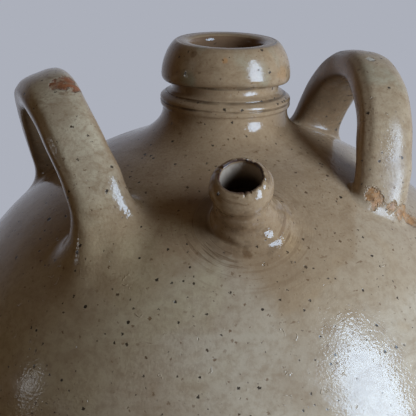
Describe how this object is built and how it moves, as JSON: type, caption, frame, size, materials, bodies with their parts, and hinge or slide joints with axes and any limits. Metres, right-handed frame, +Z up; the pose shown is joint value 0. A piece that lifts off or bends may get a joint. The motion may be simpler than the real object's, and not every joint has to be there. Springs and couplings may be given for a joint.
{
  "type": "oil jug",
  "caption": "Round-bellied glazed stoneware jug with a narrow collared neck, a short pouring spout on the shoulder and strap loop handles beside the neck.",
  "frame": {"origin": "middle of the flat base, on the surface that the jug stands on", "axes": "+Z up along the jug's axis through the mouth, -Y towards the spout, +X towards the right handle as seen from the front"},
  "size_m": [0.2834, 0.2834, 0.3453],
  "materials": {
    "glaze": "glossy warm grey-beige salt glaze with dark iron specks",
    "brown_glaze": "glossy browner glaze, worn to dark clay at the lip"
  },
  "bodies": {
    "root": {"lower_body": "glaze", "shoulder": "glaze", "neck": "glaze", "spout": "brown_glaze", "spout_clay_collar": "brown_glaze", "left_handle": "glaze", "left_handle_front_collar": "glaze", "left_handle_back_collar": "glaze", "right_handle": "glaze", "right_handle_front_collar": "glaze", "right_handle_back_collar": "glaze"}
  },
  "joints": []
}
